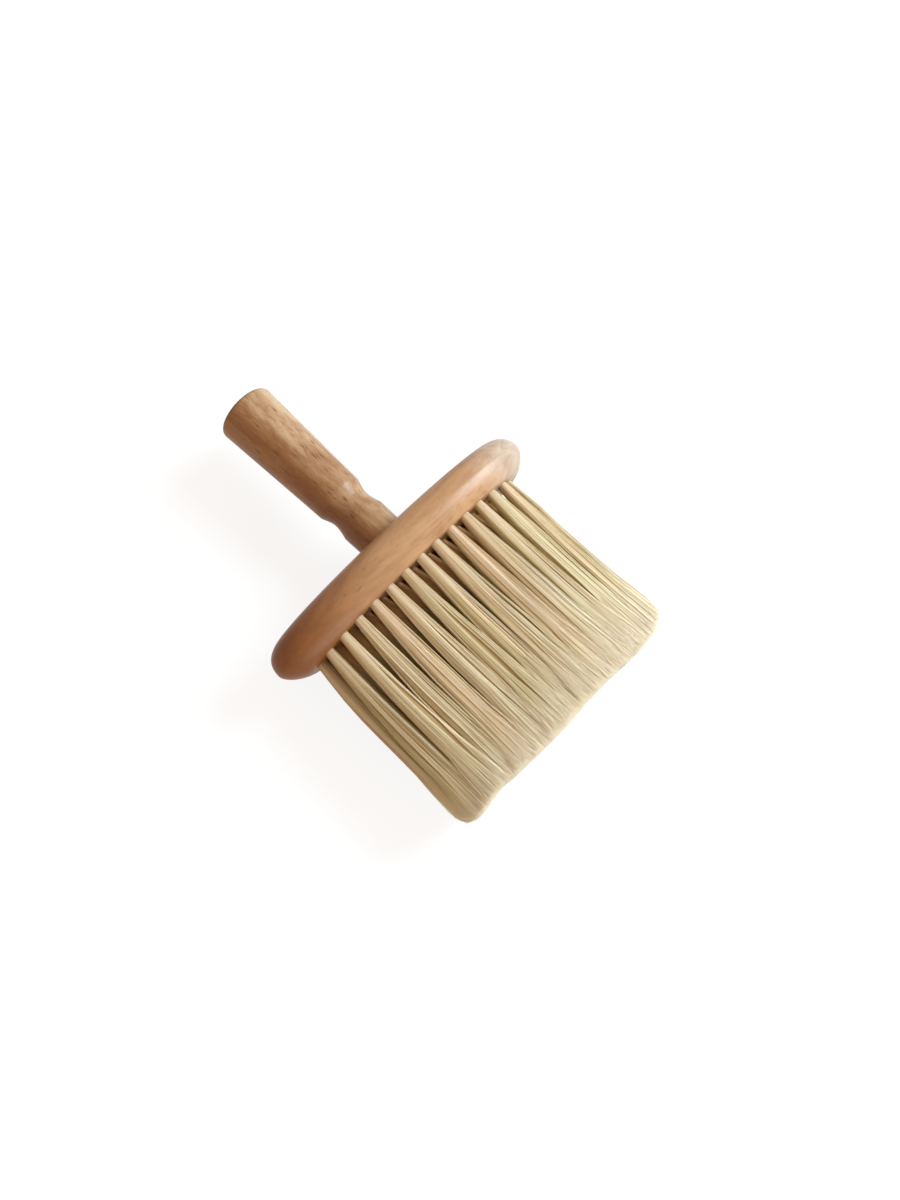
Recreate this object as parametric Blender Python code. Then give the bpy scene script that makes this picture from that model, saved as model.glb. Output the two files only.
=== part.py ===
"""Soft cleaning brush: an oval beech head, a short turned handle and long tufts of bristle.

All pieces are built about one axis, the handle's. In that frame +Z runs up the handle, +X runs
along the head, and z = 0 is the flat face of the head that the tufts stand in. The whole frame is
then laid down, so the brush lies on the belly of its head with the handle along world +Y.
"""

import math

import bmesh
import bpy
from mathutils import Vector

# Head, in metres. Its edge is rounded from the belly, its widest line, to both faces.
HEAD_LENGTH = 0.1600
HEAD_DEPTH = 0.0560
HEAD_THICKNESS = 0.0214
BELLY_HEIGHT = 0.0095
TUFT_FACE_END_INSET = 0.0125
TUFT_FACE_SIDE_INSET = 0.0050
TUFT_FACE_POWER = 1.5
HANDLE_FACE_INSET = 0.0155
HANDLE_FACE_POWER = 2.5

# Handle, from the foot that sits on the head up to the butt. Heights start at the head.
HANDLE_LENGTH = 0.0948
FOOT_DIAMETER = 0.0244
FOOT_HEIGHT = 0.0150
FOOT_SWELL = 0.0002
COVE_DIAMETER = 0.0215
COVE_HEIGHT = 0.0225
SHOULDER_DIAMETER = 0.0256
SHOULDER_HEIGHT = 0.0318
BUTT_DIAMETER = 0.0301
BUTT_ROUND = 0.0022

# Glued joint between the handle and the head.
TENON_DIAMETER = 0.0140
TENON_CHAMFER = 0.0010
SOCKET_FLOOR = 0.0029
JOINT_CLEARANCE = 0.0003

# Tufts and the blind holes that they are glued into.
TUFT_DIAMETER = 0.0044
HOLE_DEPTH = 0.0090
ROOT_STAND = 0.0004
OUTER_ROW_END_INSET = 0.0177
OUTER_ROW_SIDE_INSET = 0.0081
OUTER_ROW_COUNT = 28
INNER_ROW_SHARES = (0.827, 0.477)
INNER_ROW_COUNT = 22
CENTRE_ROW_SHARE = 0.453
CENTRE_ROW_COUNT = 7

# Bristles. A tuft opens from its root to the knee, then runs almost straight to the trimmed tips.
BRISTLE_LENGTH = 0.0975
KNEE_REACH = 0.0260
KNEE_WIDTH_SHARE = 0.90
TIP_SPREAD_ALONG = 0.0012
TIP_SPREAD_ACROSS = 0.0010
TUFT_GAP = 0.0003
STRAND_GAP = 0.0003
EDGE_DROP = 0.0012
EDGE_POWER = 16
DOME_DROP = 0.0048
STRANDS_PER_TUFT = 7

# Facet counts and the overrun of a cutter past the face that it opens.
TURNED_SIDES = 36
OVAL_SIDES = 72
FACE_ROUND_STEPS = 5
CURVE_STEPS = 8
BARREL_STEPS = 7
BUTT_STEPS = 4
BARREL_POWER = 1.05
ARC_SAMPLES = 1440
GOLDEN_TURN = math.pi * (3 - math.sqrt(5))
SMOOTH_ANGLE = math.radians(40)
CUT_OVERRUN = 0.0010
WELD_DISTANCE = 0.000001

# Places that follow from the sizes above.
FACE_TO_CENTRE = BRISTLE_LENGTH - (BRISTLE_LENGTH + HEAD_THICKNESS + HANDLE_LENGTH) / 2
SOCKET_DEPTH = HEAD_THICKNESS - HOLE_DEPTH - SOCKET_FLOOR
OUTER_ROW_ALONG = HEAD_LENGTH / 2 - OUTER_ROW_END_INSET
OUTER_ROW_ACROSS = HEAD_DEPTH / 2 - OUTER_ROW_SIDE_INSET


def clear_scene():
    for leftover in list(bpy.data.objects):
        bpy.data.objects.remove(leftover, do_unlink=True)


def make_material(name, colour, roughness):
    material = bpy.data.materials.new(name)
    material.use_nodes = True
    shader = material.node_tree.nodes["Principled BSDF"]
    shader.inputs["Base Color"].default_value = (*colour, 1.0)
    shader.inputs["Roughness"].default_value = roughness
    shader.inputs["Metallic"].default_value = 0.0
    return material


def make_object(name, bm, material, parent, location):
    """Turn a closed mesh into a smooth-shaded object on the brush's axis."""
    bmesh.ops.recalc_face_normals(bm, faces=bm.faces)
    mesh = bpy.data.meshes.new(name)
    bm.to_mesh(mesh)
    bm.free()
    mesh.shade_smooth()
    mesh.set_sharp_from_angle(angle=SMOOTH_ANGLE)
    if material:
        mesh.materials.append(material)
    piece = bpy.data.objects.new(name, mesh)
    piece.parent = parent
    piece.location = location
    bpy.context.collection.objects.link(piece)
    return piece


def make_axis():
    """The handle's axis, laid down along world +Y with the head's belly on the floor."""
    axis = bpy.data.objects.new("brush_axis", None)
    axis.location = (0, FACE_TO_CENTRE, HEAD_DEPTH / 2)
    axis.rotation_euler = (-math.pi / 2, 0, 0)
    bpy.context.collection.objects.link(axis)
    return axis


def loft(bm, rings):
    """Skin a stack of rings that have the same number of points, cap it, and return its last cap."""
    loops = [[bm.verts.new(point) for point in ring] for ring in rings]
    for lower, upper in zip(loops, loops[1:]):
        for i in range(len(lower)):
            j = (i + 1) % len(lower)
            bm.faces.new((lower[i], lower[j], upper[j], upper[i]))
    bm.faces.new(reversed(loops[0]))
    return bm.faces.new(loops[-1])


def oval(along, across, height, sides, centre=(0, 0), turn=0):
    angles = [turn + 2 * math.pi * i / sides for i in range(sides)]
    return [
        Vector((centre[0] + along * math.cos(a), centre[1] + across * math.sin(a), height))
        for a in angles
    ]


def cut(piece, cutter):
    """Cut a piece with another mesh, which is kept as a hidden wire guide."""
    cutter.hide_render = True
    cutter.display_type = "WIRE"
    boolean = piece.modifiers.new(cutter.name, "BOOLEAN")
    boolean.operation = "DIFFERENCE"
    boolean.solver = "EXACT"
    boolean.object = cutter


def head_rings():
    """Ovals up the head, along a slack curve out to the belly and then a full one in to the top."""
    rings = []
    for step in range(FACE_ROUND_STEPS + 1):
        lean = math.pi / 2 * step / FACE_ROUND_STEPS
        inset_share = 1 - math.sin(lean) ** (2 / TUFT_FACE_POWER)
        height = BELLY_HEIGHT * (1 - math.cos(lean) ** (2 / TUFT_FACE_POWER))
        end_inset = TUFT_FACE_END_INSET * inset_share
        side_inset = TUFT_FACE_SIDE_INSET * inset_share
        rings.append((end_inset, side_inset, height))
    for step in range(1, CURVE_STEPS + 1):
        lean = math.pi / 2 * step / CURVE_STEPS
        inset = HANDLE_FACE_INSET * (1 - math.cos(lean) ** (2 / HANDLE_FACE_POWER))
        rise = (HEAD_THICKNESS - BELLY_HEIGHT) * math.sin(lean) ** (2 / HANDLE_FACE_POWER)
        rings.append((inset, inset, BELLY_HEIGHT + rise))
    return [
        oval(HEAD_LENGTH / 2 - end_inset, HEAD_DEPTH / 2 - side_inset, height, OVAL_SIDES)
        for end_inset, side_inset, height in rings
    ]


def build_head(axis, wood, places):
    bm = bmesh.new()
    loft(bm, head_rings())
    head = make_object("head", bm, wood, axis, (0, 0, 0))

    # One cutter holds every tuft hole, each turned with the tuft that fills it.
    hole_radius = TUFT_DIAMETER / 2 + JOINT_CLEARANCE
    bm = bmesh.new()
    for index, place in enumerate(places):
        turn = index * GOLDEN_TURN
        mouth = oval(hole_radius, hole_radius, -CUT_OVERRUN, STRANDS_PER_TUFT, place, turn)
        floor = oval(hole_radius, hole_radius, HOLE_DEPTH, STRANDS_PER_TUFT, place, turn)
        loft(bm, [mouth, floor])
    cut(head, make_object("tuft_hole_cutter", bm, None, axis, (0, 0, 0)))

    # The socket stops above the tuft holes and leaves a floor of solid wood.
    socket_radius = TENON_DIAMETER / 2 + JOINT_CLEARANCE
    floor_height = HEAD_THICKNESS - SOCKET_DEPTH
    bm = bmesh.new()
    loft(bm, [
        oval(socket_radius, socket_radius, floor_height, TURNED_SIDES),
        oval(socket_radius, socket_radius, HEAD_THICKNESS + CUT_OVERRUN, TURNED_SIDES),
    ])
    cut(head, make_object("socket_cutter", bm, None, axis, (0, 0, 0)))


def handle_outline():
    """Radius and height of the turned handle, from the tenon's end up to the butt."""
    tenon = TENON_DIAMETER / 2
    tenon_end = JOINT_CLEARANCE - SOCKET_DEPTH
    foot = FOOT_DIAMETER / 2
    cove = COVE_DIAMETER / 2
    shoulder = SHOULDER_DIAMETER / 2
    butt = BUTT_DIAMETER / 2
    outline = [
        (0, tenon_end),
        (tenon - TENON_CHAMFER, tenon_end),
        (tenon, tenon_end + TENON_CHAMFER),
        (tenon, JOINT_CLEARANCE),
        (foot - FOOT_SWELL, JOINT_CLEARANCE),
        (foot - FOOT_SWELL, FOOT_HEIGHT / 2),
    ]
    # The cove leaves the foot at a crisp edge, and runs out of its waist in a long soft curve.
    for step in range(CURVE_STEPS):
        share = 1 - step / CURVE_STEPS
        height = COVE_HEIGHT - (COVE_HEIGHT - FOOT_HEIGHT) * share
        outline.append((cove + (foot - cove) * (1 - math.cos(share * math.pi / 2)), height))
    for step in range(CURVE_STEPS):
        share = step / CURVE_STEPS
        height = COVE_HEIGHT + (SHOULDER_HEIGHT - COVE_HEIGHT) * share
        swell = (shoulder - cove) * (1 - math.cos(share * math.pi)) / 2
        outline.append((cove + swell, height))
    # The barrel fills out evenly towards the butt, and then its edge is rounded over.
    barrel_top = HANDLE_LENGTH - BUTT_ROUND
    for step in range(BARREL_STEPS + 1):
        share = step / BARREL_STEPS
        height = SHOULDER_HEIGHT + (barrel_top - SHOULDER_HEIGHT) * share
        outline.append((shoulder + (butt - shoulder) * share ** BARREL_POWER, height))
    for step in range(1, BUTT_STEPS + 1):
        lean = math.pi / 2 * step / BUTT_STEPS
        radius = butt - BUTT_ROUND * (1 - math.cos(lean))
        outline.append((radius, barrel_top + BUTT_ROUND * math.sin(lean)))
    outline.append((0, HANDLE_LENGTH))
    return outline


def build_handle(axis, wood):
    """Revolve the outline about the axis, as the lathe does."""
    bm = bmesh.new()
    points = [bm.verts.new((radius, 0, height)) for radius, height in handle_outline()]
    edges = [bm.edges.new(pair) for pair in zip(points, points[1:])]
    bmesh.ops.spin(
        bm, geom=points + edges, cent=(0, 0, 0), axis=(0, 0, 1),
        angle=2 * math.pi, steps=TURNED_SIDES, use_merge=True,
    )
    bmesh.ops.remove_doubles(bm, verts=bm.verts, dist=WELD_DISTANCE)
    make_object("handle", bm, wood, axis, (0, 0, HEAD_THICKNESS))


def oval_places(along, across, count):
    """Points spaced evenly along an oval's edge, the first at its +X end."""
    samples = oval(along, across, 0, ARC_SAMPLES)
    samples.append(samples[0])
    travelled = [0]
    for start, end in zip(samples, samples[1:]):
        travelled.append(travelled[-1] + (end - start).length)
    places = []
    nearest = 0
    for index in range(count):
        wanted = travelled[-1] * index / count
        while travelled[nearest + 1] < wanted:
            nearest += 1
        part = (wanted - travelled[nearest]) / (travelled[nearest + 1] - travelled[nearest])
        places.append(samples[nearest].lerp(samples[nearest + 1], part).xy)
    return places


def tuft_rows():
    """The tufts' places on the face: two ovals, set half a step apart, and a row along the middle."""
    inner_along = OUTER_ROW_ALONG * INNER_ROW_SHARES[0]
    inner_across = OUTER_ROW_ACROSS * INNER_ROW_SHARES[1]
    half_row = OUTER_ROW_ALONG * CENTRE_ROW_SHARE
    last = CENTRE_ROW_COUNT - 1
    return {
        "outer": oval_places(OUTER_ROW_ALONG, OUTER_ROW_ACROSS, OUTER_ROW_COUNT),
        "inner": oval_places(inner_along, inner_across, INNER_ROW_COUNT),
        "centre": [Vector((half_row * (2 * i / last - 1), 0)) for i in range(CENTRE_ROW_COUNT)],
    }


def tip_place(place):
    """Where a tuft's middle ends up at the tips, which stand a little wider than the roots."""
    along = 1 + TIP_SPREAD_ALONG / OUTER_ROW_ALONG
    across = 1 + TIP_SPREAD_ACROSS / OUTER_ROW_ACROSS
    return Vector((place.x * along, place.y * across))


def tip_radii(places):
    """Each tuft fills half the room between its tips and those of its nearest neighbour."""
    tips = [tip_place(place) for place in places]
    radii = []
    for tip in tips:
        nearest = min((tip - other).length for other in tips if other is not tip)
        radii.append((nearest - TUFT_GAP) / 2)
    return radii


def trimmed_reach(point):
    """The tips are trimmed to a low dome across the brush, and a little shorter at its two ends."""
    along = abs(point.x) / (OUTER_ROW_ALONG + TIP_SPREAD_ALONG)
    across = abs(point.y) / (OUTER_ROW_ACROSS + TIP_SPREAD_ACROSS)
    return BRISTLE_LENGTH - EDGE_DROP * along ** EDGE_POWER - DOME_DROP * across ** 2


def build_tuft(name, axis, bristle, place, turn, full_radius):
    """A packed root in its hole, which splits into three-sided strands that fan out to the tips."""
    root_radius = TUFT_DIAMETER / 2
    bm = bmesh.new()
    mouth = loft(bm, [
        oval(root_radius, root_radius, HOLE_DEPTH - JOINT_CLEARANCE, STRANDS_PER_TUFT, place, turn),
        oval(root_radius, root_radius, -ROOT_STAND, STRANDS_PER_TUFT, place, turn),
    ])
    wedges = bmesh.ops.poke(bm, faces=[mouth])["faces"]
    bmesh.ops.inset_individual(bm, faces=wedges, thickness=STRAND_GAP / 2, use_even_offset=True)

    # Each strand keeps its share of the tuft's width at the knee and at the tip, so none cross.
    strands = wedges
    knee = place.lerp(tip_place(place), KNEE_REACH / BRISTLE_LENGTH)
    levels = (
        (knee, full_radius * KNEE_WIDTH_SHARE, False),
        (tip_place(place), full_radius, True),
    )
    middle, radius = place, root_radius
    for new_middle, new_radius, at_tip in levels:
        strands = bmesh.ops.extrude_discrete_faces(bm, faces=strands)["faces"]
        for strand in strands:
            for corner in strand.verts:
                corner.co.xy = new_middle + (corner.co.xy - middle) * (new_radius / radius)
            centre = strand.calc_center_median().xy
            reach = trimmed_reach(centre) if at_tip else KNEE_REACH
            for corner in strand.verts:
                corner.co.z = -reach
        middle, radius = new_middle, new_radius
    make_object(name, bm, bristle, axis, (0, 0, 0))


def main():
    clear_scene()
    head_wood = make_material("head_beech", (0.57, 0.33, 0.16), 0.38)
    handle_wood = make_material("handle_beech", (0.50, 0.29, 0.14), 0.42)
    bristle = make_material("bristle_straw", (0.66, 0.54, 0.32), 0.85)

    axis = make_axis()
    rows = tuft_rows()
    places = [place for row in rows.values() for place in row]
    build_head(axis, head_wood, places)
    build_handle(axis, handle_wood)

    radii = tip_radii(places)
    index = 0
    for row_name, row in rows.items():
        for number, place in enumerate(row, start=1):
            name = f"tuft_{row_name}_{number:02d}"
            build_tuft(name, axis, bristle, place, index * GOLDEN_TURN, radii[index])
            index += 1


main()
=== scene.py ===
"""Soft cleaning brush: an oval beech head on a turned handle, with 57 tufts of long pale bristle."""

import math

import bmesh
import bpy
import numpy as np
from mathutils import Matrix, Vector


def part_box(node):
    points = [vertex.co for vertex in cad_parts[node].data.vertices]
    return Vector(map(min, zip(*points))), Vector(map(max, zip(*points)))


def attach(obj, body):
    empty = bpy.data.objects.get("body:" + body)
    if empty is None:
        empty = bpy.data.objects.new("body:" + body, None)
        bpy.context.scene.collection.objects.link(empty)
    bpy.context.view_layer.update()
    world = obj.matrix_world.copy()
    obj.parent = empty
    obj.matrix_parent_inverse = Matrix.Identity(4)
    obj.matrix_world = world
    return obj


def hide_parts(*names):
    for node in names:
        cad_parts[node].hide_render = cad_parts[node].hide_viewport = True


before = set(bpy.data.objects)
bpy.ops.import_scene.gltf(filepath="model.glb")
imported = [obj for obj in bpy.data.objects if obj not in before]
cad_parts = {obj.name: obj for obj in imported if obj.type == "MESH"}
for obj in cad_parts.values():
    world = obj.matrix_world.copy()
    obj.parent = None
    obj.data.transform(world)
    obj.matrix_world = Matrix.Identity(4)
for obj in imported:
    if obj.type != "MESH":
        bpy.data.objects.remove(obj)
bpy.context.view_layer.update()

# The head is an oval block of beech, about 21 mm thick and a good hand's width long. Its edge is
# moulded round to both faces. The tufts stand in blind holes drilled in the flat face, and the
# handle's tenon is glued into a socket in the other.
head_low, head_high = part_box("head")
head_along = (head_high.x - head_low.x) / 2
head_across = (head_high.z - head_low.z) / 2
head_thickness = head_high.y - head_low.y
axis_height = (head_high.z + head_low.z) / 2
belly_height = 0.0095
tuft_face_end_inset = 0.0125
tuft_face_side_inset = 0.0050
tuft_face_power = 1.5
handle_face_inset = 0.0155
handle_face_power = 2.5
head_sides = 192
face_steps = 12
shoulder_steps = 20
root_radius = 0.0022
hole_clearance = 0.0003
hole_depth = 0.0090
hole_sides = 20
tenon_radius = 0.0070
socket_depth = 0.0095
bore_sides = 64
cut_overrun = 0.0010
sharp_angle = math.radians(35)

# In the working frame +Z runs up the handle and z = 0 is the face with the tufts in it.
lay_down = Matrix.Translation((0, head_low.y, axis_height)) @ Matrix.Rotation(-math.pi / 2, 4, "X")
stand_up = lay_down.inverted()


def make_piece(name, bm, material, node_names):
    """Lay a finished mesh down in its place, and let it stand for its nodes of the frame."""
    bmesh.ops.transform(bm, matrix=lay_down, verts=bm.verts)
    mesh = bpy.data.meshes.new(name)
    bm.to_mesh(mesh)
    bm.free()
    mesh.materials.append(material)
    piece = bpy.data.objects.new(name, mesh)
    bpy.context.collection.objects.link(piece)
    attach(piece, "root")
    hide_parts(*node_names)
    return piece


def tuft_root(node_name):
    """The middle of a tuft's packed root, in the working frame."""
    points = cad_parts[node_name].data.vertices
    corners = {tuple(round(c, 6) for c in stand_up @ point.co) for point in points}
    packed = [Vector(corner) for corner in corners if corner[2] > hole_depth / 2]
    middle = sum(packed, Vector()) / len(packed)
    return Vector((middle.x, middle.y, 0))


def widen_and_rise(bm, edges, old_size, new_size, rise):
    """Extrude an oval rim to the next oval up."""
    grown = bmesh.ops.extrude_edge_only(bm, edges=edges)["geom"]
    rim = [g for g in grown if isinstance(g, bmesh.types.BMVert)]
    stretch = (new_size[0] / old_size[0], new_size[1] / old_size[1], 1)
    bmesh.ops.scale(bm, vec=stretch, verts=rim)
    bmesh.ops.translate(bm, vec=(0, 0, rise), verts=rim)
    return [g for g in grown if isinstance(g, bmesh.types.BMEdge)]


def head_outline():
    """Half length, half depth and height of each oval: from the tuft face out, then in again."""
    outline = []
    for step in range(face_steps + 1):
        lean = math.pi / 2 * step / face_steps
        share = 1 - math.sin(lean) ** (2 / tuft_face_power)
        height = belly_height * (1 - math.cos(lean) ** (2 / tuft_face_power))
        along = head_along - tuft_face_end_inset * share
        outline.append((along, head_across - tuft_face_side_inset * share, height))
    for step in range(1, shoulder_steps + 1):
        lean = math.pi / 2 * step / shoulder_steps
        inset = handle_face_inset * (1 - math.cos(lean) ** (2 / handle_face_power))
        rise = (head_thickness - belly_height) * math.sin(lean) ** (2 / handle_face_power)
        outline.append((head_along - inset, head_across - inset, belly_height + rise))
    return outline


tuft_names = sorted(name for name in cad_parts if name.startswith("tuft_"))
tuft_roots = {name: tuft_root(name) for name in tuft_names}

bm = bmesh.new()
outline = head_outline()
bmesh.ops.create_circle(bm, cap_ends=True, segments=head_sides, radius=1)
bmesh.ops.scale(bm, vec=(*outline[0][:2], 1), verts=bm.verts)
rim = list(bm.edges)
for old, new in zip(outline, outline[1:]):
    rim = widen_and_rise(bm, rim, old[:2], new[:2], new[2] - old[2])
bmesh.ops.edgeloop_fill(bm, edges=rim)
bmesh.ops.recalc_face_normals(bm, faces=bm.faces)


def beech_group():
    """Beech along X, heartwood to sapwood, partly painted shade and light, with bands, fibre lines,
    dark flecks and end grain.
    """
    group = bpy.data.node_groups.new("beech", "ShaderNodeTree")
    for name, kind in (
        ("Place", "NodeSocketVector"),
        ("Pale", "NodeSocketColor"),
        ("Dark", "NodeSocketColor"),
        ("Grain", "NodeSocketColor"),
        ("Fleck", "NodeSocketColor"),
        ("Figure Share", "NodeSocketFloat"),
        ("Fleck Share", "NodeSocketFloat"),
        ("Heart And Shade Share", "NodeSocketFloat"),
        ("Sapwood And Light", "NodeSocketColor"),
        ("Sapwood And Light Share", "NodeSocketFloat"),
        ("End Grain", "NodeSocketFloat"),
    ):
        group.interface.new_socket(name, in_out="INPUT", socket_type=kind)
    for name, kind in (
        ("Color", "NodeSocketColor"),
        ("Roughness", "NodeSocketFloat"),
        ("Height", "NodeSocketFloat"),
    ):
        group.interface.new_socket(name, in_out="OUTPUT", socket_type=kind)
    nodes, links = group.nodes, group.links
    given = nodes.new("NodeGroupInput")
    result = nodes.new("NodeGroupOutput")

    def drawn_out(kind, along, across, **settings):
        """A texture drawn out along the grain, given how fine it is along and across it."""
        mapping = nodes.new("ShaderNodeMapping")
        mapping.inputs["Scale"].default_value = (along, across, across)
        links.new(given.outputs["Place"], mapping.inputs["Vector"])
        texture = nodes.new(kind)
        texture.inputs["Scale"].default_value = 1.0
        for name, value in settings.items():
            texture.inputs[name].default_value = value
        links.new(mapping.outputs["Vector"], texture.inputs["Vector"])
        return texture

    def noise(along, across, **settings):
        return drawn_out("ShaderNodeTexNoise", along, across, **settings).outputs["Fac"]

    def ranged(value, start, full, to_low=0.0, to_high=1.0):
        """The value eased from to_low, at the start, to to_high, where it is full."""
        node = nodes.new("ShaderNodeMapRange")
        node.interpolation_type = "SMOOTHSTEP"
        node.inputs["From Min"].default_value = start
        node.inputs["From Max"].default_value = full
        node.inputs["To Min"].default_value = to_low
        node.inputs["To Max"].default_value = to_high
        links.new(value, node.inputs["Value"])
        return node.outputs["Result"]

    def blended(share, first, second):
        node = nodes.new("ShaderNodeMix")
        node.data_type = "RGBA"
        links.new(share, node.inputs["Factor"])
        links.new(first, node.inputs["A"])
        links.new(second, node.inputs["B"])
        return node.outputs["Result"]

    def joined(operation, first, second):
        node = nodes.new("ShaderNodeMath")
        node.operation = operation
        links.new(first, node.inputs[0])
        if isinstance(second, float):
            node.inputs[1].default_value = second
        else:
            links.new(second, node.inputs[1])
        return node.outputs["Value"]

    bands = noise(14, 90, Detail=6.0, Roughness=0.62, Distortion=1.2)
    blotches = noise(90, 230, Detail=6.0, Roughness=0.68, Distortion=0.6)
    rings = noise(5, 330, Detail=3.0, Roughness=0.60)
    fibres = noise(90, 1300, Detail=4.0, Roughness=0.65)

    # The dark flecks are beech's rays: short, thin, in one cell out of a few, and in patches.
    ray_edge = (0.50, 0.15)
    ray_chosen = (0.50, 0.85)
    ray_patches = (0.42, 0.60)
    ray_least = 0.1
    rays = drawn_out("ShaderNodeTexVoronoi", 130, 800, Randomness=1.0)
    picked = nodes.new("ShaderNodeSeparateColor")
    links.new(rays.outputs["Color"], picked.inputs["Color"])
    flecks = ranged(rays.outputs["Distance"], *ray_edge)
    flecks = joined("MULTIPLY", flecks, ranged(picked.outputs["Red"], *ray_chosen))
    flecks = joined("MULTIPLY", flecks, ranged(blotches, *ray_patches, to_low=ray_least))
    flecks = joined("MULTIPLY", flecks, given.outputs["Fleck Share"])

    # The heartwood share darkens and the sapwood share pales the wood: partly real, partly painted
    # shade and painted light.
    tone = blended(given.outputs["Heart And Shade Share"], given.outputs["Pale"], given.outputs["Dark"])
    tone = blended(given.outputs["Sapwood And Light Share"], tone, given.outputs["Sapwood And Light"])
    for texture, start, full, strength in (
        (bands, 0.38, 0.64, 1.0),
        (blotches, 0.47, 0.66, 0.70),
        (rings, 0.50, 0.66, 0.50),
        (fibres, 0.48, 0.74, 0.30),
    ):
        layer = ranged(texture, start, full, to_high=strength)
        layer = joined("MULTIPLY", layer, given.outputs["Figure Share"])
        tone = blended(layer, tone, given.outputs["Grain"])
    tone = blended(flecks, tone, given.outputs["Fleck"])

    end_grain_blend = 0.0012
    end_grain_strength = 0.8
    along = nodes.new("ShaderNodeSeparateXYZ")
    links.new(given.outputs["Place"], along.inputs["Vector"])
    past_end = joined("SUBTRACT", along.outputs["X"], given.outputs["End Grain"])
    end_grain = ranged(past_end, 0.0, end_grain_blend, to_high=end_grain_strength)
    links.new(blended(end_grain, tone, given.outputs["Fleck"]), result.inputs["Color"])

    fibre_relief = 0.35
    smooth_fibre, rough_fibre = (0.3, 0.40), (0.8, 0.54)
    roughness = ranged(fibres, smooth_fibre[0], rough_fibre[0], smooth_fibre[1], rough_fibre[1])
    links.new(roughness, result.inputs["Roughness"])
    height = joined("ADD", blotches, joined("MULTIPLY", fibres, fibre_relief))
    links.new(height, result.inputs["Height"])
    return group


beech = beech_group()


def wood_material(
    name, pale, dark, grain, fleck, sap_and_light_colour, figure_share, fleck_share, heart_and_shade, sap_and_light,
    grain_turn, end_grain, raised, gloss, gloss_roughness,
):
    """Lacquered beech, with its grain turned about Z from X, and its end grain past end_grain.

    heart_and_shade and sap_and_light each say where along X the wood starts to turn, where it has,
    and how much.
    The darker heartwood towards -X is partly painted shade, on the side away from the lamp, and the
    paler sapwood towards +X is partly painted light, on the side the lamp falls on.
    """
    relief_height = 0.0008
    bare_specular = 0.15
    material = bpy.data.materials.new(name)
    material.use_nodes = True
    nodes, links = material.node_tree.nodes, material.node_tree.links
    shader = nodes["Principled BSDF"]
    place = nodes.new("ShaderNodeTexCoord")
    turn = nodes.new("ShaderNodeMapping")
    turn.inputs["Rotation"].default_value = (0, 0, grain_turn)
    links.new(place.outputs["Object"], turn.inputs["Vector"])
    wood = nodes.new("ShaderNodeGroup")
    wood.node_tree = beech
    links.new(turn.outputs["Vector"], wood.inputs["Place"])
    for input_name, colour in (
        ("Pale", pale), ("Dark", dark), ("Grain", grain), ("Fleck", fleck), ("Sapwood And Light", sap_and_light_colour),
    ):
        wood.inputs[input_name].default_value = (*colour, 1)
    wood.inputs["Figure Share"].default_value = figure_share
    wood.inputs["Fleck Share"].default_value = fleck_share
    wood.inputs["End Grain"].default_value = end_grain
    across = nodes.new("ShaderNodeSeparateXYZ")
    links.new(place.outputs["Object"], across.inputs["Vector"])
    # Darker towards -X and paler towards +X: partly heartwood and sapwood, partly painted shade away
    # from the lamp and painted light towards it.
    for input_name, (start, full, share) in (("Heart And Shade Share", heart_and_shade), ("Sapwood And Light Share", sap_and_light)):
        fade = nodes.new("ShaderNodeMapRange")
        fade.interpolation_type = "SMOOTHSTEP"
        fade.inputs["From Min"].default_value = start
        fade.inputs["From Max"].default_value = full
        fade.inputs["To Max"].default_value = share
        links.new(across.outputs["X"], fade.inputs["Value"])
        links.new(fade.outputs["Result"], wood.inputs[input_name])
    bump = nodes.new("ShaderNodeBump")
    bump.inputs["Strength"].default_value = raised
    bump.inputs["Distance"].default_value = relief_height
    links.new(wood.outputs["Height"], bump.inputs["Height"])
    links.new(wood.outputs["Color"], shader.inputs["Base Color"])
    links.new(wood.outputs["Roughness"], shader.inputs["Roughness"])
    links.new(bump.outputs["Normal"], shader.inputs["Normal"])
    shader.inputs["Specular IOR Level"].default_value = bare_specular
    shader.inputs["Coat Weight"].default_value = gloss
    shader.inputs["Coat Roughness"].default_value = gloss_roughness
    return material


# The head's ends are moulded round and show no end grain, so its start is put far beyond them.
head_beech = wood_material(
    "head_beech",
    pale=(0.50, 0.292, 0.146),
    dark=(0.26, 0.090, 0.020),
    grain=(0.150, 0.044, 0.009),
    fleck=(0.15, 0.05, 0.015),
    sap_and_light_colour=(0.60, 0.53, 0.435),
    figure_share=0.23,
    fleck_share=0.30,
    # The head darkens towards its -X end, away from the lamp, and pales towards its +X end, under
    # the lamp's highlight: partly heartwood and sapwood, partly painted shade and painted light.
    heart_and_shade=(-0.003, -0.073, 0.98),
    sap_and_light=(0.037, 0.078, 0.90),
    grain_turn=0,
    end_grain=1.0,
    raised=0.06,
    gloss=0.31,
    gloss_roughness=0.28,
)
head = make_piece("head_oval", bm, head_beech, ["head"])
head.data.shade_smooth()

# One pass of the drill for each tuft, and one wide bore for the tenon, cut as the real block is.
bm = bmesh.new()
drill_radius = root_radius + hole_clearance
drill_length = hole_depth + cut_overrun
for root in tuft_roots.values():
    place = Matrix.Translation(root + Vector((0, 0, hole_depth - drill_length / 2)))
    bmesh.ops.create_cone(
        bm, cap_ends=True, segments=hole_sides, radius1=drill_radius, radius2=drill_radius,
        depth=drill_length, matrix=place,
    )
bore_radius = tenon_radius + hole_clearance
bore_length = socket_depth + cut_overrun
place = Matrix.Translation((0, 0, head_thickness - socket_depth + bore_length / 2))
bmesh.ops.create_cone(
    bm, cap_ends=True, segments=bore_sides, radius1=bore_radius, radius2=bore_radius,
    depth=bore_length, matrix=place,
)
bmesh.ops.transform(bm, matrix=lay_down, verts=bm.verts)
drill_mesh = bpy.data.meshes.new("drills")
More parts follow.
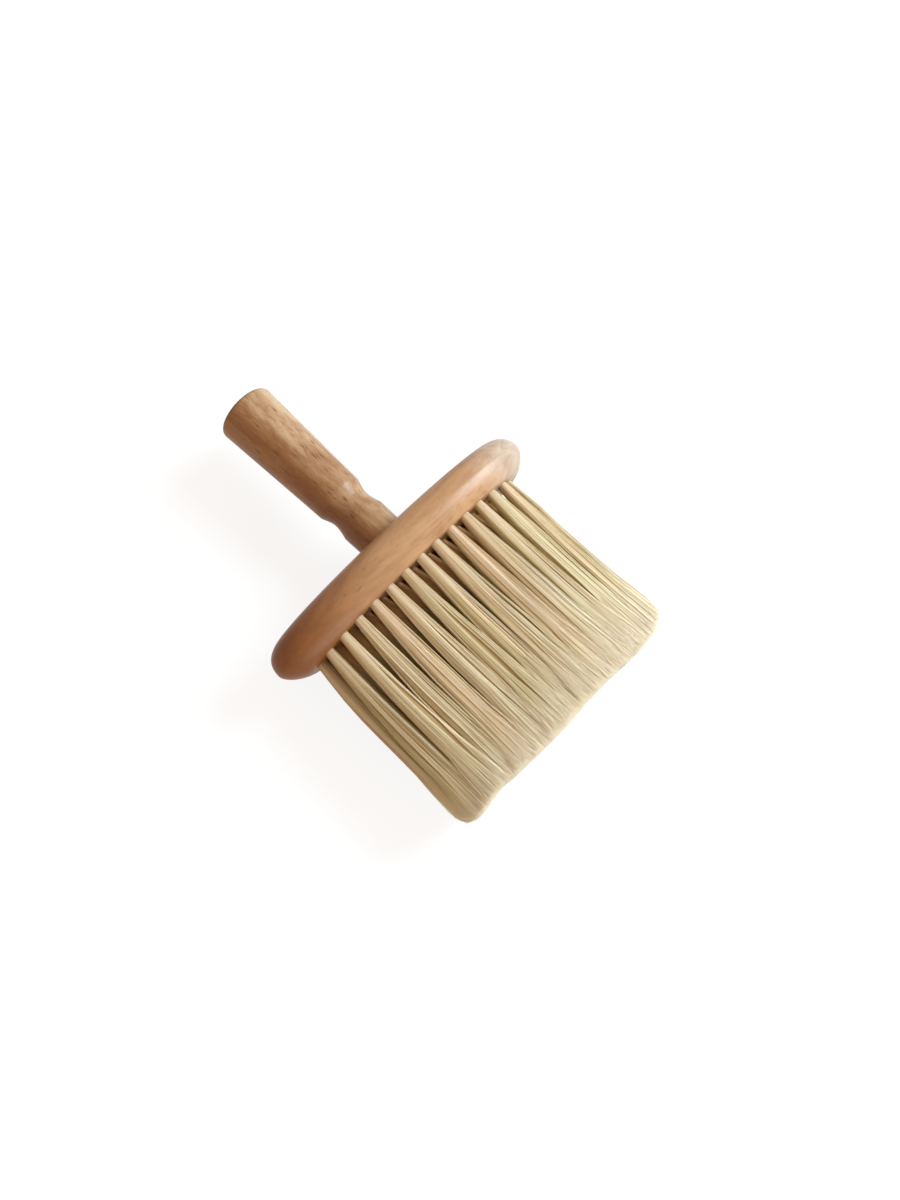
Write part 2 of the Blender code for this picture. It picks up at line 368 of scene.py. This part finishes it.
bm.to_mesh(drill_mesh)
bm.free()
drills = bpy.data.objects.new("drills", drill_mesh)
bpy.context.collection.objects.link(drills)
drilling = head.modifiers.new("drilling", "BOOLEAN")
drilling.operation = "DIFFERENCE"
drilling.solver = "EXACT"
drilling.object = drills
drilled = bpy.data.meshes.new_from_object(head.evaluated_get(bpy.context.evaluated_depsgraph_get()))
head.modifiers.clear()
head.data = drilled
head.data.set_sharp_from_angle(angle=sharp_angle)
bpy.data.objects.remove(drills)

# The handle is turned from one piece of beech: a foot that sits on the head, a cove for the
# fingertips, and a barrel that swells to the butt. Its tenon goes down into the head.
handle_low, handle_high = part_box("handle")
butt_radius = (handle_high.x - handle_low.x) / 2
handle_length = handle_high.y - head_high.y
foot_radius = 0.0122
foot_height = 0.0150
foot_swell = 0.0002
cove_radius = 0.01068
cove_height = 0.0225
shoulder_radius = 0.0128
shoulder_height = 0.0302
shoulder_crispness = 0.7
butt_round = 0.0022
edge_round = 0.0004
turned_sides = 128
cove_steps = 14
barrel_steps = 24
butt_steps = 8
barrel_power = 1.05
weld_distance = 0.000001
end_grain_round = 0.8


def handle_outline():
    """Radius and height above the head of each point that the turning tool passes."""
    points = [
        (0, -socket_depth + hole_clearance),
        (tenon_radius, -socket_depth + hole_clearance),
        (tenon_radius, hole_clearance),
        (foot_radius - foot_swell - edge_round, hole_clearance),
        (foot_radius - foot_swell, hole_clearance + edge_round),
        (foot_radius, foot_height - edge_round),
        (foot_radius - edge_round / 2, foot_height),
    ]
    for step in range(1, cove_steps + 1):
        share = 1 - step / cove_steps
        height = cove_height - (cove_height - foot_height) * share
        swell = (foot_radius - edge_round / 2 - cove_radius) * (1 - math.cos(share * math.pi / 2))
        points.append((cove_radius + swell, height))
    for step in range(1, cove_steps + 1):
        share = step / cove_steps
        height = cove_height + (shoulder_height - cove_height) * share
        rounded = (1 - math.cos(share * math.pi)) / 2
        crisp = 1 - math.cos(share * math.pi / 2)
        swell = (shoulder_radius - cove_radius) * (rounded + (crisp - rounded) * shoulder_crispness)
        points.append((cove_radius + swell, height))
    barrel_top = handle_length - butt_round
    for step in range(1, barrel_steps + 1):
        share = step / barrel_steps
        height = shoulder_height + (barrel_top - shoulder_height) * share
        radius = shoulder_radius + (butt_radius - shoulder_radius) * share**barrel_power
        points.append((radius, height))
    for step in range(1, butt_steps + 1):
        lean = math.pi / 2 * step / butt_steps
        radius = butt_radius - butt_round * (1 - math.cos(lean))
        points.append((radius, barrel_top + butt_round * math.sin(lean)))
    points.append((0, handle_length))
    return points


bm = bmesh.new()
points = [bm.verts.new((radius, 0, head_thickness + height)) for radius, height in handle_outline()]
edges = [bm.edges.new(pair) for pair in zip(points, points[1:])]
bmesh.ops.spin(
    bm, geom=points + edges, cent=(0, 0, 0), axis=(0, 0, 1), angle=2 * math.pi,
    steps=turned_sides, use_merge=True,
)
bmesh.ops.remove_doubles(bm, verts=bm.verts, dist=weld_distance)
bmesh.ops.recalc_face_normals(bm, faces=bm.faces)
handle_beech = wood_material(
    "handle_beech",
    pale=(0.56, 0.395, 0.232),
    dark=(0.33, 0.132, 0.035),
    grain=(0.23, 0.085, 0.020),
    fleck=(0.12, 0.055, 0.022),
    sap_and_light_colour=(0.59, 0.45, 0.31),
    figure_share=0.60,
    fleck_share=0.9,
    # The handle darkens on its -X side, away from the lamp, and pales on its +X side, towards it:
    # partly heartwood and sapwood, partly painted shade and painted light.
    heart_and_shade=(0.0040, -0.0080, 0.68),
    sap_and_light=(0.005, 0.012, 0.50),
    grain_turn=-math.pi / 2,
    end_grain=handle_high.y - end_grain_round * butt_round,
    raised=0.40,
    gloss=0.22,
    gloss_roughness=0.24,
)
handle = make_piece("turned_handle", bm, handle_beech, ["handle"])
handle.data.shade_smooth()
handle.data.set_sharp_from_angle(angle=sharp_angle)

# Each tuft is a bundle of several hundred soft hairs, packed into its hole and glued. It leaves
# the wood as a narrow round bunch, opens like a cone until it meets its neighbours, and from
# there on runs straight, until the trimmed tips blend into one soft brush.
bristle_seed = 20
golden_turn = math.pi * (3 - math.sqrt(5))

# The tufts that show have full hair. Those behind them are thinner, open sooner and are given a
# ruddy, darker tone: painted shade in the gaps between the front tufts.
outer_kind = {"hairs": 900, "cone_shares": (0.42, 0.64), "cone_power": 1.15, "tones": (0.35, 1.0)}
inner_kind = {"hairs": 320, "cone_shares": (0.17, 0.23), "cone_power": 1.9, "tones": (0.0, 0.30)}
end_cone_share = 0.55
end_row_share = 0.97

# A hair is a rod of three sides that starts a little way down in its hole. Each tuft has a smooth
# packed core just under its hairs.
hair_levels = 9
hair_sides = 3
hidden_root = 0.0040
root_width = 0.000060
body_width = 0.000125
tip_width = 0.000045
thickening = (0.02, 0.30)
thinning = (0.80, 1.0)
width_range = (0.8, 1.25)
core_levels = 13
core_sides = 28
core_share = 0.80
core_shoulder = 0.94
core_least_taper = 0.04
core_length_share = 0.965
core_drop_share = 1.3
core_tone_power = 0.7

# Where the hairs stand in the root and end in the tip: share of the hairs, share of the area.
root_fill = ((0, 0.3, 1), (0.3, 0.6, 1))
tip_fill = ((0, 0.35, 1), (0, 0.78, 1))
tip_fill_blend = (0.60, 1.0)

# The hairs gather into locks on their way, and each lock and hair strays a little.
locks_per_tuft = 16
lock_places = (0.30, 1.0)
lock_pull = 0.40
lock_closing = (0.15, 0.50)
lock_opening = (0.65, 0.95)
tuft_stray = 0.00055
lock_stray = 0.00015
hair_stray = 0.00029
sway_power = 1.4
side_lean = -0.0026
lean_share = 0.6

# A tuft opens as far as its neighbours and the edge of the whole bundle let it.
out_of_reach = 1.0
tiny = 1e-9
side_margin = 0.0041
tip_margin = 0.0053
margin_blend = (0.72, 1.0)
tip_overlap_share = 1.45
overlap_blend = (0.68, 1.0)
round_reach_share = 1.15
shape_blend = (0.45, 1.0)

# The shears' line across the tips, as place along the head and length of the bristle.
trim_line = (
    (-0.065, 0.0984), (-0.047, 0.0963), (-0.036, 0.0975), (-0.010, 0.0990),
    (0.010, 0.0985), (0.024, 0.0987), (0.043, 0.1002), (0.060, 0.0994),
)
left_corner_round = 0.0100
right_corner_round = 0.0150
front_drop = 0.0065
front_drop_power = 2.0
tuft_drop_range = (0.7, 1.3)
hair_drop_range = (0, 2)
uneven_tips = 0.006

# A flat side of each hair faces out of its tuft, and towards the tips out of the whole brush.
outward_share = 0.95
outward_blend = (0.35, 0.90)
facing_side_share = (0.08, 0.50)
facing_jitter = 0.22
steadying_share = 0.9
steadying_blend = (0.40, 0.85)

# Tones run from 0 to 1. Inside hair is ruddy by the wood only and then settles to darker olive
# tones; both are painted shade. All tips turn pale.
settling_blend = (0.08, 0.32)
inner_painted_shade_tones = (0.35, 0.60)
pale_tip_tone = 1.0
pale_tip_share = 0.85
pale_tip_row = (0.2, 0.9)
pale_tip_starts = (0.84, 0.60)
lock_tone_share = 0.45
tuft_hue_share = 0.35
even_hue = 0.5
side_shade = 0.8
side_shade_blend = (-0.1, 0.75)


def straight_rods(name, sides, levels, count):
    """One straight rod of unit size with a ring at each level, repeated to make a whole bundle."""
    bm = bmesh.new()
    to_floor = Matrix.Translation((0, 0, 0.5))
    bmesh.ops.create_cone(
        bm, cap_ends=True, segments=sides, radius1=1, radius2=1, depth=1, matrix=to_floor
    )
    for level in range(1, levels - 1):
        bmesh.ops.bisect_plane(
            bm, geom=bm.verts[:] + bm.edges[:] + bm.faces[:],
            plane_co=(0, 0, level / (levels - 1)), plane_no=(0, 0, 1),
        )
    rod = bm.verts[:] + bm.edges[:] + bm.faces[:]
    for _ in range(count - 1):
        bmesh.ops.duplicate(bm, geom=rod)
    mesh = bpy.data.meshes.new(name)
    bm.to_mesh(mesh)
    bm.free()
    return mesh


def smooth_step(low, high, value):
    share = np.clip((value - low) / (high - low), 0, 1)
    return share * share * (3 - 2 * share)


root_places = np.array([tuple(root.xy) for root in tuft_roots.values()])
row_along, row_across = abs(root_places).max(axis=0)
rng = np.random.default_rng(bristle_seed)


def cell_reach(place, angles, s):
    """How far a tuft may spread each way before it meets the next tuft or the bundle's edge."""
    heading = np.stack([np.cos(angles), np.sin(angles)], axis=-1)
    reach = np.full(angles.shape, out_of_reach)
    for other in root_places:
        away = other - place
        squared = away @ away
        if squared:
            towards = heading @ away
            halfway = squared / 2 / np.maximum(towards, tiny)
            reach = np.minimum(reach, np.where(towards > 0, halfway, out_of_reach))
    reach *= 1 + (tip_overlap_share - 1) * smooth_step(*overlap_blend, s)

    # The bundle's edge is an oval. Where a line from the tuft meets it solves a quadratic.
    margin = side_margin + (tip_margin - side_margin) * smooth_step(*margin_blend, s)
    size = np.stack([row_along + margin, row_across + margin], axis=-1)
    start, way = place / size, heading / size
    a = (way * way).sum(axis=-1)
    b = (way * start).sum(axis=-1)
    c = (start * start).sum(axis=-1) - 1
    edge = (-b + np.sqrt(np.maximum(b * b - a * c, 0))) / a
    return np.minimum(reach, edge)


def spread(place, disc, s, sway, cone, cone_power):
    """Carry a place in the tuft's round root along its hairs to the share s of their length."""
    angles = np.arctan2(disc[..., 1], disc[..., 0])
    opening = 1 - (1 - np.clip(s / cone, 0, 1)) ** cone_power
    reach = cell_reach(place, angles, s)
    round_reach = np.minimum(reach, round_reach_share * np.median(reach))
    body = smooth_step(*shape_blend, s)
    width = root_radius + (round_reach * (1 - body) + reach * body - root_radius) * opening
    plan = place + disc * width[..., None]
    plan = plan + sway * (s**sway_power)[..., None]
    plan[..., 0] += side_lean * np.sin(np.clip(s, 0, lean_share) / lean_share * np.pi / 2)
    return plan


def trimmed(tip, drop):
    """Length that the shears leave at a place across the tips: round at the corners and edges."""
    xs, lengths = np.array(trim_line).T
    reach = np.interp(tip[..., 0], xs, lengths)
    aside = tip[..., 0] - side_lean
    corner = np.where(aside < 0, left_corner_round, right_corner_round)
    past = np.clip(abs(aside) - (row_along + tip_margin - corner), 0, corner)
    reach -= corner - np.sqrt(corner**2 - past**2)
    front = np.clip(abs(tip[..., 1]) / (row_across + tip_margin), 0, 1)
    return reach - drop * front**front_drop_power


def tone_along(tone, s, pale_start):
    """A hair's tone at the share s of its length: ruddy inside hair settles to olive, both painted
    shade, and tips turn pale.
    """
    ruddiest = inner_kind["tones"][1]
    low, high = inner_painted_shade_tones
    settled = low + tone / ruddiest * (high - low)
    settling = tone + (settled - tone) * smooth_step(*settling_blend, s)
    tone = np.where(tone > ruddiest, tone, settling)
    return tone + (pale_tip_tone - tone) * pale_tip_share * smooth_step(pale_start, 1.0, s)


def comb_tuft(place, kind):
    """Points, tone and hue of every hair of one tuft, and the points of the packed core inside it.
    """
    count = kind["hairs"]
    angles = np.arange(count) * golden_turn + rng.uniform(0, 2 * np.pi)
    heading = np.stack([np.cos(angles), np.sin(angles)], axis=-1)
    inner_share = (np.arange(count) + 0.5) / count
    spot = heading * np.sqrt(np.interp(inner_share, *root_fill))[:, None]
    end_spot = heading * np.sqrt(np.interp(inner_share, *tip_fill))[:, None]
    lock_angles = rng.uniform(0, 2 * np.pi, locks_per_tuft)
    lock_rho = np.sqrt(rng.uniform(*lock_places, locks_per_tuft))
    locks = np.stack([np.cos(lock_angles), np.sin(lock_angles)], axis=-1) * lock_rho[:, None]
    nearest = ((spot[:, None] - locks[None]) ** 2).sum(axis=-1).argmin(axis=1)
    tuft_sway = rng.normal(0, tuft_stray, 2)
    lock_sway = rng.normal(0, lock_stray, (locks_per_tuft, 2))[nearest]
    sway = tuft_sway + lock_sway + rng.normal(0, hair_stray, (count, 2))

    # The two tufts at the ends of the row open sooner, since nothing stands beyond them.
    cone = rng.uniform(*kind["cone_shares"])
    if abs(place[0]) > end_row_share * row_along:
        cone *= end_cone_share
    s = hair_level[:count]
    gather = lock_pull * smooth_step(*lock_closing, s) * (1 - smooth_step(*lock_opening, s))
    disc = spot[:, None] + (locks[nearest] - spot)[:, None] * gather[..., None]
    disc = disc + (end_spot - spot)[:, None] * smooth_step(*tip_fill_blend, s)[..., None]
    plan = spread(place, disc, s, sway[:, None], cone, kind["cone_power"])
    drop = front_drop * rng.uniform(*tuft_drop_range)
    reach = trimmed(plan[:, -1], drop * rng.uniform(*hair_drop_range, count))
    reach = reach * (1 - abs(rng.normal(0, uneven_tips, count)))
    height = hidden_root - (hidden_root + reach)[:, None] * s

    # Hair thickens from the root to its middle and runs out fine at the tip.
    thick = root_width + (body_width - root_width) * smooth_step(*thickening, s)
    thick = thick + (tip_width - body_width) * smooth_step(*thinning, s)
    thick = thick * rng.uniform(*width_range, count)[:, None]

    blend = (outward_share * smooth_step(*outward_blend, s))[..., None]
    outwards = plan / np.array([row_along, row_across]) ** 2
    side_share = np.where(plan[..., 0] < 0, *facing_side_share)
    outwards[..., 0] *= side_share * np.minimum(abs(plan[..., 0]) / row_along, 1) ** 2
    outwards = outwards / np.linalg.norm(outwards, axis=-1, keepdims=True)
    facing = disc / np.linalg.norm(disc, axis=-1, keepdims=True) * (1 - blend) + outwards * blend
    turn = np.arctan2(facing[..., 1], facing[..., 0]) + np.pi / 2
    unsteady = 1 - steadying_share * smooth_step(*steadying_blend, s)
    turn = turn + rng.normal(0, facing_jitter, count)[:, None] * unsteady
    rod = hair_rod[:count]
    across_x = rod[..., 0] * np.cos(turn) - rod[..., 1] * np.sin(turn)
    across_y = rod[..., 0] * np.sin(turn) + rod[..., 1] * np.cos(turn)
    xs = plan[..., 0] + across_x * thick
    ys = plan[..., 1] + across_y * thick
    hairs = np.stack([xs, ys, height], axis=-1)

    # The core's levels crowd towards its end, which is rounded over just under the hairs' tips.
    s = np.sin(core_rod[:, 2] * np.pi / 2)
    end = np.clip((s - core_shoulder) / (1 - core_shoulder), 0, 1)
    taper = core_share * np.sqrt(np.maximum(1 - end**2, core_least_taper))
    disc = core_rod[:, :2] * taper[:, None]
    plan = spread(place, disc, s * core_length_share, tuft_sway, cone, kind["cone_power"])
    reach = trimmed(plan, drop * core_drop_share) * core_length_share
    core = np.stack([plan[..., 0], plan[..., 1], hidden_root - (hidden_root + reach) * s], axis=-1)

    lock_tone = rng.uniform(0, 1, locks_per_tuft)[nearest]
    lock_hue = rng.uniform(0, 1, locks_per_tuft)[nearest]
    tone = lock_tone_share * lock_tone + (1 - lock_tone_share) * rng.uniform(0, 1, count)
    low, high = kind["tones"]
    tone = low + (high - low) * tone
    if kind is outer_kind:
        # The side of a tuft that faces into the brush is given a darker tone: painted shade.
        outside = place / np.array([row_along, row_across]) ** 2
        outside = heading @ (outside / np.linalg.norm(outside))
        shade = side_shade * (1 - smooth_step(*side_shade_blend, outside))
        tone = low + (tone - low) * (1 - shade)
    hue = tuft_hue_share * rng.uniform(0, 1) + (1 - tuft_hue_share) * lock_hue
    return hairs, tone, hue, core


def bristle_material():
    """Fine dull hair. Its tone changes from tuft to tuft and hair to hair, and along each hair."""
    tones = [
        # The darkest tones are painted shade: ruddy up to 0.30 for the hair inside the brush, and
        # olive at 0.35 where the inner sides of tufts are darkened.
        (0.0, (0.92, 0.66, 0.31)),
        (0.30, (0.94, 0.71, 0.39)),
        (0.35, (0.66, 0.54, 0.31)),
        (0.65, (0.92, 0.85, 0.65)),
        (1.0, (1.00, 0.96, 0.83)),
    ]
    hues = [
        (0.0, (1.00, 0.93, 0.91)),
        (0.5, (1.00, 1.00, 1.00)),
        (1.0, (0.95, 1.00, 0.90)),
    ]
    root_to_tip = [
        (0.0, (0.86, 0.76, 0.68)),
        (0.10, (0.88, 0.80, 0.73)),
        (0.30, (0.83, 0.77, 0.68)),
        (0.52, (0.81, 0.76, 0.68)),
        (0.78, (0.84, 0.80, 0.71)),
        (0.90, (0.89, 0.85, 0.76)),
        (1.0, (0.89, 0.86, 0.80)),
    ]
    dullness = 0.62
    sheen_level = 0.30
    material = bpy.data.materials.new("bristle_straw")
    material.use_nodes = True
    nodes, links = material.node_tree.nodes, material.node_tree.links
    shader = nodes["Principled BSDF"]

    def ramp(attribute_name, stops):
        """A colour read from the hair's own attribute, 0 at the first stop and 1 at the last."""
        reading = nodes.new("ShaderNodeAttribute")
        reading.attribute_name = attribute_name
        node = nodes.new("ShaderNodeValToRGB")
        first, last = node.color_ramp.elements
        first.position, first.color = stops[0][0], (*stops[0][1], 1)
        last.position, last.color = stops[-1][0], (*stops[-1][1], 1)
        for position, colour in stops[1:-1]:
            node.color_ramp.elements.new(position).color = (*colour, 1)
        links.new(reading.outputs["Fac"], node.inputs["Fac"])
        return node.outputs["Color"]

    def multiplied(first, second):
        node = nodes.new("ShaderNodeMix")
        node.data_type = "RGBA"
        node.blend_type = "MULTIPLY"
        node.inputs["Factor"].default_value = 1.0
        links.new(first, node.inputs["A"])
        links.new(second, node.inputs["B"])
        return node.outputs["Result"]

    colour = multiplied(ramp("tone", tones), ramp("hue", hues))
    colour = multiplied(colour, ramp("along", root_to_tip))
    links.new(colour, shader.inputs["Base Color"])
    shader.inputs["Roughness"].default_value = dullness
    shader.inputs["Specular IOR Level"].default_value = sheen_level
    return material


def read_points(mesh):
    values = np.empty(len(mesh.vertices) * 3, np.float32)
    mesh.vertices.foreach_get("co", values)
    return values.reshape(-1, 3).astype(float)


def store(mesh, name, hair_values, core_values):
    """Keep one value for each point of a tuft, of its hairs first and then of its core."""
    layer = mesh.attributes.new(name, "FLOAT", "POINT")
    values = np.concatenate([hair_values.ravel(), core_values])
    layer.data.foreach_set("value", values.astype(np.float32))


bristle_straw = bristle_material()
core_mesh = straight_rods("packed_core", core_sides, core_levels, 1)
core_mesh.shade_smooth()
core_rod = read_points(core_mesh)
core_level = core_rod[:, 2]
for kind in (outer_kind, inner_kind):
    kind["bundle"] = straight_rods("hairs", hair_sides, hair_levels, kind["hairs"])
hair_points = hair_sides * hair_levels
hair_rod = read_points(outer_kind["bundle"]).reshape(outer_kind["hairs"], hair_points, 3)
hair_level = hair_rod[..., 2]

for name, root in tuft_roots.items():
    kind = outer_kind if "outer" in name else inner_kind
    hairs, tone, hue, core = comb_tuft(np.array(tuple(root.xy)), kind)
    bm = bmesh.new()
    bm.from_mesh(kind["bundle"])
    bm.from_mesh(core_mesh)
    mesh = bpy.data.meshes.new(name.replace("tuft", "bristle"))
    bm.to_mesh(mesh)
    bm.free()
    points = np.concatenate([hairs.reshape(-1, 3), core])
    mesh.vertices.foreach_set("co", points.astype(np.float32).ravel())
    mesh.transform(lay_down)
    level = hair_level[:kind["hairs"]]
    pale_start = np.interp(root.x / row_along, pale_tip_row, pale_tip_starts)
    hair_tone = tone_along(tone[:, None], level, pale_start)
    tip_share = smooth_step(pale_start, 1.0, level)
    hair_hue = hue[:, None] + (even_hue - hue[:, None]) * pale_tip_share * tip_share
    core_tone = tone_along(tone.min(), core_level**core_tone_power, pale_start)
    store(mesh, "tone", hair_tone, core_tone)
    store(mesh, "hue", hair_hue, np.full(len(core), even_hue))
    store(mesh, "along", level, core_level)
    mesh.materials.append(bristle_straw)
    piece = bpy.data.objects.new(mesh.name, mesh)
    bpy.context.collection.objects.link(piece)
    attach(piece, "root")
    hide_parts(name)

# The brush lies on a plain white sheet of card, which carries its soft shadow. The card gives off
# light of its own to the eye only, less near the brush, to leave room for the shadow, and full
# further off, where it meets the white room.
floor_reach = 6.0
near_reach, near_glow = 0.4, 0.86
far_reach, far_glow = 2.0, 1.0
# Under its own light the card is grey to the eye, and what it bounces on the brush is tan.
seen_grey = (0.20, 0.20, 0.20)
bounced_tan = (0.45, 0.28, 0.14)
card_roughness = 0.9
bm = bmesh.new()
bmesh.ops.create_grid(bm, x_segments=1, y_segments=1, size=floor_reach)
floor_mesh = bpy.data.meshes.new("floor")
bm.to_mesh(floor_mesh)
bm.free()
floor = bpy.data.objects.new("floor", floor_mesh)
bpy.context.collection.objects.link(floor)
card = bpy.data.materials.new("white_card")
card.use_nodes = True
nodes, links = card.node_tree.nodes, card.node_tree.links
shader = nodes["Principled BSDF"]
shader.inputs["Roughness"].default_value = card_roughness
shader.inputs["Specular IOR Level"].default_value = 0.0
shader.inputs["Emission Color"].default_value = (1, 1, 1, 1)


def seen_directly(nodes, links):
    """1 for a ray from the camera or one reflected or bent on its way, 0 for light on the brush."""
    path = nodes.new("ShaderNodeLightPath")
    seen = path.outputs["Is Camera Ray"]
    for ray in ("Is Glossy Ray", "Is Transmission Ray"):
        either = nodes.new("ShaderNodeMath")
        either.operation = "MAXIMUM"
        links.new(seen, either.inputs[0])
        links.new(path.outputs[ray], either.inputs[1])
        seen = either.outputs["Value"]
    return seen


seen = seen_directly(nodes, links)
place = nodes.new("ShaderNodeTexCoord")
distance = nodes.new("ShaderNodeVectorMath")
distance.operation = "LENGTH"
links.new(place.outputs["Object"], distance.inputs[0])
whiteness = nodes.new("ShaderNodeMapRange")
whiteness.inputs["From Min"].default_value = near_reach
whiteness.inputs["From Max"].default_value = far_reach
whiteness.inputs["To Min"].default_value = near_glow
whiteness.inputs["To Max"].default_value = far_glow
links.new(distance.outputs["Value"], whiteness.inputs["Value"])
glow = nodes.new("ShaderNodeMath")
glow.operation = "MULTIPLY"
links.new(seen, glow.inputs[0])
links.new(whiteness.outputs["Result"], glow.inputs[1])
links.new(glow.outputs["Value"], shader.inputs["Emission Strength"])
sheet = nodes.new("ShaderNodeMix")
sheet.data_type = "RGBA"
sheet.inputs["A"].default_value = (*bounced_tan, 1)
sheet.inputs["B"].default_value = (*seen_grey, 1)
links.new(seen, sheet.inputs["Factor"])
links.new(sheet.outputs["Result"], shader.inputs["Base Color"])
floor_mesh.materials.append(card)

# Studio light: one broad window-like lamp off the brush's right end, a weak reflector beyond its
# tips, and a pale room all round, which is white to the eye and lights the brush warmly.
aim = Vector((0, 0, axis_height))
room_light = (1.0, 0.68, 0.42)
room_strength = 0.43


def soft_lamp(name, place, size, power, colour):
    lamp = bpy.data.lights.new(name, "AREA")
    lamp.shape = "DISK"
    lamp.size = size
    lamp.energy = power
    lamp.color = colour
    lamp_object = bpy.data.objects.new(name, lamp)
    lamp_object.location = place
    lamp_object.rotation_euler = (Vector(place) - aim).to_track_quat("Z", "Y").to_euler()
    bpy.context.collection.objects.link(lamp_object)


soft_lamp("window", place=(1.92, -0.59, 1.54), size=1.30, power=87, colour=(0.82, 0.92, 1.0))
soft_lamp("reflector", place=(-0.44, -1.24, 0.50), size=1.00, power=7.4, colour=(0.88, 0.94, 1.0))

world = bpy.data.worlds.new("pale_room")
bpy.context.scene.world = world
world.use_nodes = True
nodes, links = world.node_tree.nodes, world.node_tree.links
room = nodes["Background"]
room.inputs["Color"].default_value = (*room_light, 1)
room.inputs["Strength"].default_value = room_strength
white = nodes.new("ShaderNodeBackground")
white.inputs["Color"].default_value = (1, 1, 1, 1)
white.inputs["Strength"].default_value = 1.0
choose = nodes.new("ShaderNodeMixShader")
links.new(seen_directly(nodes, links), choose.inputs["Fac"])
links.new(room.outputs["Background"], choose.inputs[1])
links.new(white.outputs["Background"], choose.inputs[2])
links.new(choose.outputs["Shader"], nodes["World Output"].inputs["Surface"])

# The camera looks down on the brush from beside its tips, about half a metre off. The focal length
# is given in pixels of a picture that is 1200 pixels high.
picture_height = 1200
focal_pixels = 1081.4
view_azimuth = -1.0646
view_elevation = 1.2478
view_roll = 0.2607
view_distance = 0.5010
view_target = Vector((0.0002, head_low.y - 0.0202, axis_height))
back = Vector((
    math.sin(view_azimuth) * math.cos(view_elevation),
    -math.cos(view_azimuth) * math.cos(view_elevation),
    math.sin(view_elevation),
))
side = Vector((0, 0, 1)).cross(back).normalized()
up = back.cross(side)
camera_data = bpy.data.cameras.new("camera")
camera_data.sensor_fit = "VERTICAL"
camera_data.sensor_height = 24
camera_data.lens = camera_data.sensor_height * focal_pixels / picture_height
camera = bpy.data.objects.new("camera", camera_data)
turned_side = side * math.cos(view_roll) + up * math.sin(view_roll)
turned_up = up * math.cos(view_roll) - side * math.sin(view_roll)
camera.matrix_world = Matrix.Translation(view_target + back * view_distance) @ Matrix(
    (turned_side, turned_up, back)
).transposed().to_4x4()
bpy.context.collection.objects.link(camera)
bpy.context.scene.camera = camera
bpy.context.scene.view_settings.view_transform = "Standard"
